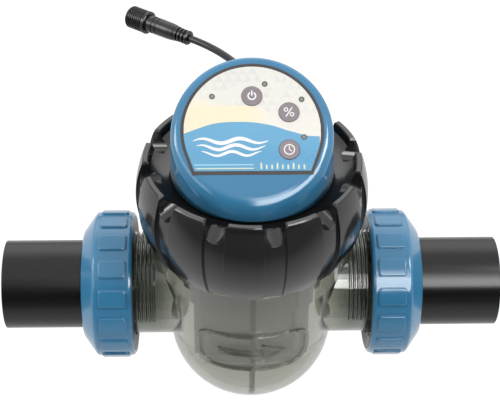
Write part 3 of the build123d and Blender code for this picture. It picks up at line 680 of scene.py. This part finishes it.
# ---------------------------------------------------------------------------
# head shell: one skin from the base circle to the panel, its edge softest at the front
# ---------------------------------------------------------------------------
SHELL_SIDES = 144
EDGE_STEPS = 12
SHELL_BASE_Z = 82.4
SHELL_WALL = 2.8
BASE_RADIUS = 43.8
FACE_RADIUS = 42.2
FACE_CENTRE = Vector((VESSEL_X + CENTRE_LINE, PANEL.y, PANEL.z)) - UPWARD * 0.6


def angle_between(a, b):
    """Angle between two unit vectors."""
    return math.acos(max(-1, min(1, a.dot(b))))


def skin_rings(inset, softness):
    """Rings of points up the straight wall and round the edge onto the panel."""
    centre = FACE_CENTRE - OUTWARD * inset
    rings = [[] for _ in range(EDGE_STEPS + 3)]
    for k in range(SHELL_SIDES):
        angle = 2 * math.pi * k / SHELL_SIDES
        cos, sin = math.cos(angle), math.sin(angle)
        base_radius = BASE_RADIUS - inset
        base = Vector((VESSEL_X + base_radius * cos, base_radius * sin, SHELL_BASE_Z))
        edge = centre + (ACROSS * cos + UPWARD * sin) * (FACE_RADIUS - inset)
        down, inward = (base - edge).normalized(), (centre - edge).normalized()
        # the rounding starts this far from the sharp edge, on the wall and on the panel
        setback = softness * (4.6 + 2.9 * max(0.0, -sin) ** 1.5 - 0.7 * max(0.0, sin))
        wall_end, face_end = edge + down * setback, edge + inward * setback
        half_corner = angle_between(down, inward) / 2
        radius = setback * math.tan(half_corner)
        pivot = edge + (down + inward).normalized() * (radius / math.sin(half_corner))
        wall_arm, face_arm = wall_end - pivot, face_end - pivot
        sweep = angle_between(wall_arm.normalized(), face_arm.normalized())
        rings[0].append(base)
        rings[1].append(base.lerp(wall_end, 0.5))
        for i in range(EDGE_STEPS + 1):
            f = i / EDGE_STEPS
            arm = wall_arm * math.sin((1 - f) * sweep) + face_arm * math.sin(f * sweep)
            rings[2 + i].append(pivot + arm / math.sin(sweep))
    return rings


def head_shell():
    mesh_data = bmesh.new()
    outer, inner = [
        [[mesh_data.verts.new(point * MM) for point in points] for points in rings]
        for rings in (skin_rings(0.0, softness=1.0), skin_rings(SHELL_WALL, softness=0.62))]
    for rings in (outer, inner):
        for a, b in zip(rings, rings[1:]):
            for k in range(SHELL_SIDES):
                j = (k + 1) % SHELL_SIDES
                if rings is outer:
                    corners = (a[k], a[j], b[j], b[k])
                else:
                    corners = (a[k], b[k], b[j], a[j])
                mesh_data.faces.new(corners).smooth = True
    for k in range(SHELL_SIDES):
        j = (k + 1) % SHELL_SIDES
        mesh_data.faces.new((outer[0][j], outer[0][k], inner[0][k], inner[0][j]))

    # close both skins across the panel, leaving the key holes open
    hole_sets = []
    for height, rings in ((0.0, outer), (-SHELL_WALL, inner)):
        holes = [[mesh_data.verts.new(panel_point(x, y, height)) for x, y in key_hole(key)]
                 for key in KEYS]
        hole_sets.append(holes)
        loops = [rings[-1]] + holes
        flat = [vert for loop in loops for vert in loop]
        outlines = []
        for loop in loops:
            offsets = [vert.co / MM - PANEL for vert in loop]
            outlines.append([Vector((ACROSS.dot(v), UPWARD.dot(v), 0)) for v in offsets])
        for triangle in tessellate_polygon(outlines):
            add_face(mesh_data, [flat[i] for i in triangle])
    for top, low in zip(*hole_sets):
        for i in range(len(top)):
            j = (i + 1) % len(top)
            mesh_data.faces.new((top[i], top[j], low[j], low[i]))

    shell = link_mesh("head_shell", mesh_data, looks["blue"], "head")
    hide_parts("head_cover")


head_shell()

# ---------------------------------------------------------------------------
# raised frame and arrow on the front of the bowl: x from the vessel axis, z
# ---------------------------------------------------------------------------
MARK_Z = -9.0


def between(start, end):
    """Points about every mm strictly between two points."""
    (x0, z0), (x1, z1) = start, end
    steps = max(1, round(math.hypot(x1 - x0, z1 - z0)))
    return [(x0 + (x1 - x0) * k / steps, z0 + (z1 - z0) * k / steps) for k in range(1, steps)]


def rounded_frame(width, height, radius):
    """Rounded rectangle about the mark's centre, anticlockwise."""
    x, z = width / 2 - radius, height / 2 - radius
    corners = [(x, -z, -90), (x, z, 0), (-x, z, 90), (-x, -z, 180)]
    arcs = [arc(cx, MARK_Z + cz, radius, start, start + 90, 8) for cx, cz, start in corners]
    points = []
    for i, corner in enumerate(arcs):
        points += corner + between(corner[-1], arcs[(i + 1) % 4][0])
    return points


def arrow(tail, neck, tip, half_shaft, half_head):
    """Arrow pointing to +x, from the x of its tail, neck and tip and its half heights."""
    corners = [(tail, -half_shaft), (neck, -half_shaft), (neck, -half_head), (tip, 0.0),
               (neck, half_head), (neck, half_shaft), (tail, half_shaft)]
    corners = [(x, MARK_Z + z) for x, z in corners]
    points = []
    for start, end in zip(corners, corners[1:] + corners[:1]):
        points += [start] + between(start, end)
    return points


def bowl_flow_mark():
    high, deep = 0.9, 0.4       # how far the plates stand out of the bowl and sink into it
    line = 1.8                  # width of the frame's line
    width, height, radius = 62.0, 30.0, 11.0
    housing = NODES["cell_housing"].data
    surface = BVHTree.FromPolygons([vert.co.copy() for vert in housing.vertices],
                                   [tuple(polygon.vertices) for polygon in housing.polygons])

    def place(x, z):
        start = Vector(((VESSEL_X + x) * MM, -0.3, z * MM))
        hit, normal, _, _ = surface.ray_cast(start, Vector((0, 1, 0)))
        if normal.y > 0:
            normal = -normal
        return hit + normal * high * MM, hit - normal * deep * MM

    plates("bowl_flow_mark", [
        [rounded_frame(width, height, radius),
         rounded_frame(width - 2 * line, height - 2 * line, radius - line)],
        [arrow(tail=-19, neck=5, tip=19.0, half_shaft=2.2, half_head=7.2),
         arrow(tail=-17.4, neck=6.6, tip=15.9, half_shaft=0.8, half_head=4.6)],
    ], place, looks["mark"], "vessel")


bowl_flow_mark()

# ---------------------------------------------------------------------------
# union nuts: side is -1 at the inlet and 1 at the outlet
# ---------------------------------------------------------------------------
NUTS = ((-1, "inlet"), (1, "outlet"))

# black ring in the nut's mouth, painted shade for the shadowed inside of the nut: distance from the
# vessel axis, radius about the pipe axis
MOUTH_PROFILE = [
    (65.62, 38.7), (65.55, 38.3), (65.8, 37.7), (67.95, 32.1), (68.3, 31.9), (68.45, 32.3),
    (66.35, 37.9), (65.95, 38.75),
]
MOUTH_STEPS = 128

PAD_COUNT = 16
PAD_PHASE = 14.25               # degrees round the pipe axis of the first pad
PAD_FROM_VESSEL = 76.6          # pad middle, from the vessel axis along x
PAD_LENGTH, PAD_WIDTH, PAD_CORNER = 15.6, 10.2, 1.8
PAD_WRAP_RADIUS = 41.5          # radius at which the pad width is measured
# cushion layers from the foot up: inset of the outline, radius about the pipe axis
PAD_LAYERS = [(0.25, 41.30), (0.25, 41.55), (0.42, 41.80), (0.75, 41.95), (1.15, 41.97)]


# painted shade: a black ring set in the nut's mouth where the inside of the nut lies in shadow
def mouth_shade_ring(side, end):
    points, faces = [], []
    count = len(MOUTH_PROFILE)
    for k in range(MOUTH_STEPS):
        angle = 2 * math.pi * k / MOUTH_STEPS
        points += [((VESSEL_X + side * x) * MM, r * math.cos(angle) * MM,
                    r * math.sin(angle) * MM) for x, r in MOUTH_PROFILE]
        here, there = k * count, (k + 1) % MOUTH_STEPS * count
        for i in range(count):
            j = (i + 1) % count
            faces.append([here + i, there + i, there + j, here + j])
    new_object(end + "_nut_mouth_shade_ring", points, faces, looks["black"], end + "_union_nut",
               smooth=True)


def pad_outline(length, width, corner):
    """Rounded rectangle whose points face each other in pairs: one side, then the other back."""
    left, right = -length / 2 + corner, length / 2 - corner
    xs = [left - corner * math.cos(math.radians(a)) for a in (0, 22, 45, 67)]
    xs += [left + (length - 2 * corner) * i / 6 for i in range(7)]
    xs += [right + corner * math.sin(math.radians(a)) for a in (23, 45, 68, 90)]
    side = []
    for x in xs:
        past = max(abs(x) - right, 0.0)
        side.append((x, width / 2 - corner + math.sqrt(max(corner**2 - past**2, 0.0))))
    return [(x, -y) for x, y in side] + side[::-1]


def nut_grips(side, end):
    """Cushions with a crisp slope, wrapped round the nut."""
    points, faces = [], []
    for k in range(PAD_COUNT):
        middle = math.radians(PAD_PHASE + k * 360.0 / PAD_COUNT)
        foot = len(points)
        for inset, radius in PAD_LAYERS:
            outline = pad_outline(PAD_LENGTH - 2 * inset, PAD_WIDTH - 2 * inset,
                                  max(PAD_CORNER - inset * 0.7, 0.7))
            for x, y in outline:
                angle = middle + y / PAD_WRAP_RADIUS
                points.append(((VESSEL_X + side * (PAD_FROM_VESSEL) + side * x) * MM,
                               radius * math.cos(angle) * MM, radius * math.sin(angle) * MM))
        count = len(outline)
        top = foot + (len(PAD_LAYERS) - 1) * count
        for low in range(foot, top, count):
            for i in range(count):
                j = (i + 1) % count
                faces.append([low + i, low + j, low + count + j, low + count + i])
        # top and foot closed by strips between facing outline points
        for i in range(count // 2 - 1):
            a, b, c, d = i, i + 1, count - 2 - i, count - 1 - i
            faces.append([top + a, top + b, top + c, top + d])
            faces.append([foot + a, foot + d, foot + c, foot + b])
    new_object(end + "_nut_grips", points, faces, looks["blue"], end + "_union_nut", smooth=True)


for side, end in NUTS:
    mouth_shade_ring(side, end)
for side, end in NUTS:
    nut_grips(side, end)


# ---------------------------------------------------------------------------
# studio: soft light from above, the sides and behind, darker at the front
# ---------------------------------------------------------------------------
def studio_world():
    world = bpy.data.worlds.new("studio")
    bpy.context.scene.world = world
    world.use_nodes = True
    w = Nodes(world.node_tree)
    background = w.node("Background", {0: (1.0, 1.0, 1.0, 1)})
    output = w.node("OutputWorld")
    w.link(background.outputs[0], output.inputs[0])
    x, y, z = w.separate(w.node("TexCoord").outputs["Generated"])
    rays = w.node("LightPath").outputs

    # broad light: a base level plus overhead, rear and side glows
    front = w.ease(y, (-0.85, -0.10), to=(1.0, 0.0))
    overhead = w.ease(w.math("MULTIPLY_ADD", front, -0.30, z), (0.26, 0.72))
    behind = w.math("MULTIPLY", w.ease(y, (0.35, 0.80)), w.ease(z, (-0.02, 0.30)))
    sides = w.ease(w.math("ABSOLUTE", x), (0.62, 0.95))
    light = w.math("MULTIPLY_ADD", front, -0.20, 0.30)
    for glow, strength in ((overhead, 0.80), (behind, 0.95), (sides, 0.55)):
        light = w.math("MULTIPLY_ADD", glow, strength, light)

    level = w.node("CombineXYZ", {0: x, 1: y}).outputs[0]

    def window(azimuth, facing, rise, fall):
        """Bright patch; azimuth is in degrees from the front towards +x, facing is the cosine
        range of its side edges, rise and fall the height ranges of its lower and upper edges."""
        angle = math.radians(azimuth)
        toward = w.vector_math("DOT_PRODUCT", w.vector_math("NORMALIZE", level),
                               (math.sin(angle), -math.cos(angle), 0))
        height = w.math("MULTIPLY", w.ease(z, rise), w.ease(z, fall, to=(1.0, 0.0)))
        return w.math("MULTIPLY", w.ease(toward, facing), height)

    windows = window(30, facing=(0.875, 0.905), rise=(0.42, 0.46), fall=(0.70, 0.74))
    left = window(-52, facing=(0.90, 0.93), rise=(0.40, 0.45), fall=(0.66, 0.72))
    high = window(12, facing=(0.976, 0.990), rise=(0.66, 0.76), fall=(0.82, 0.88))
    for patch, strength in ((left, 0.24), (high, 0.55)):
        windows = w.math("MULTIPLY_ADD", patch, strength, windows)
    # the windows are strong in reflections and weak in other light
    strength = w.math("MULTIPLY_ADD", rays["Is Glossy Ray"], 8.5, 0.6)
    light = w.math("MULTIPLY_ADD", windows, strength, light)
    # the camera itself sees an even pale backdrop
    w.link(w.switch(rays["Is Camera Ray"], off=light, on=0.97), background.inputs[1])


def area(name, location, size, power):
    """Rectangular light aimed a little above the pipe axis at the vessel."""
    lamp = bpy.data.lights.new(name, "AREA")
    lamp.shape = "RECTANGLE"
    lamp.size, lamp.size_y = size
    lamp.energy = power
    holder = bpy.data.objects.new(name, lamp)
    bpy.context.scene.collection.objects.link(holder)
    holder.location = location
    aim = Vector((VESSEL_X * MM, 0, 0.03)) - Vector(location)
    holder.rotation_euler = aim.to_track_quat("-Z", "Y").to_euler()


def pale_floor():
    """Floor that glows differently for camera, transmitted and reflected rays."""
    s = Surface("floor_pale")
    rays = s.node("LightPath").outputs
    camera_ray, glossy_ray = rays["Is Camera Ray"], rays["Is Glossy Ray"]
    glow = s.math("MULTIPLY_ADD", camera_ray, 0.85, 0.12)
    glow = s.math("MULTIPLY_ADD", rays["Is Transmission Ray"], 0.60, glow)
    # reflections see the floor darken towards the front
    reflected = s.ease(s.separate(s.coord)[1], (-0.34, -0.07), to=(0.05, 0.72))
    grey = s.math("MULTIPLY_ADD", camera_ray, -0.54, 0.64)
    grey = s.math("MULTIPLY", grey, s.dimmed(glossy_ray, 0.95))
    return s.shade(
        Base_Color=s.node("CombineColor", {0: grey, 1: grey, 2: grey}).outputs[0],
        Roughness=0.85,
        Specular_IOR_Level=s.dimmed(camera_ray, 0.9),
        Emission_Color=(1, 1, 1, 1),
        Emission_Strength=s.switch(glossy_ray, off=glow, on=reflected))


def add_floor():
    mesh_data = bmesh.new()
    bmesh.ops.create_grid(mesh_data, x_segments=1, y_segments=1, size=3.0)
    mesh = bpy.data.meshes.new("floor")
    mesh_data.to_mesh(mesh)
    mesh_data.free()
    floor = bpy.data.objects.new("floor", mesh)
    bpy.context.scene.collection.objects.link(floor)
    floor.location = (VESSEL_X * MM, 0, cad_low[2] - 0.0002)
    mesh.materials.append(pale_floor())


def add_camera():
    """Camera in front and above; the vessel centre sits off the middle of the view."""
    elevation, yaw, roll = math.radians(39.5), math.radians(1.51), math.radians(0.55)
    distance = 0.768            # along the view to the vessel centre
    offset_right = 0.000546149  # vessel centre from the view axis
    offset_down = 0.04717
    forward = Vector((math.sin(yaw) * math.cos(elevation), math.cos(yaw) * math.cos(elevation),
                      -math.sin(elevation)))
    level_right = Vector((math.cos(yaw), -math.sin(yaw), 0))
    level_up = level_right.cross(forward)
    right = level_right * math.cos(roll) + level_up * math.sin(roll)
    up = level_up * math.cos(roll) - level_right * math.sin(roll)
    to_vessel = right * offset_right - up * offset_down + forward * distance
    eye = Vector((VESSEL_X * MM, 0, 0)) - to_vessel

    lens = bpy.data.cameras.new("camera")
    lens.sensor_width = 36.0
    lens.lens = 96.1848
    lens.clip_start, lens.clip_end = 0.05, 20
    camera = bpy.data.objects.new("camera", lens)
    bpy.context.scene.collection.objects.link(camera)
    rows = [(right[i], up[i], -forward[i], eye[i]) for i in range(3)]
    camera.matrix_world = Matrix((*rows, (0, 0, 0, 1)))
    bpy.context.scene.camera = camera


studio_world()
area("key_box", (VESSEL_X * MM + 0.55, -0.30, 0.85), size=(0.22, 0.34), power=3.2)
area("fill_box", (VESSEL_X * MM - 0.75, -0.10, 0.60), size=(0.20, 0.45), power=2.0)
add_floor()
add_camera()
bpy.context.scene.view_settings.view_transform = "Standard"
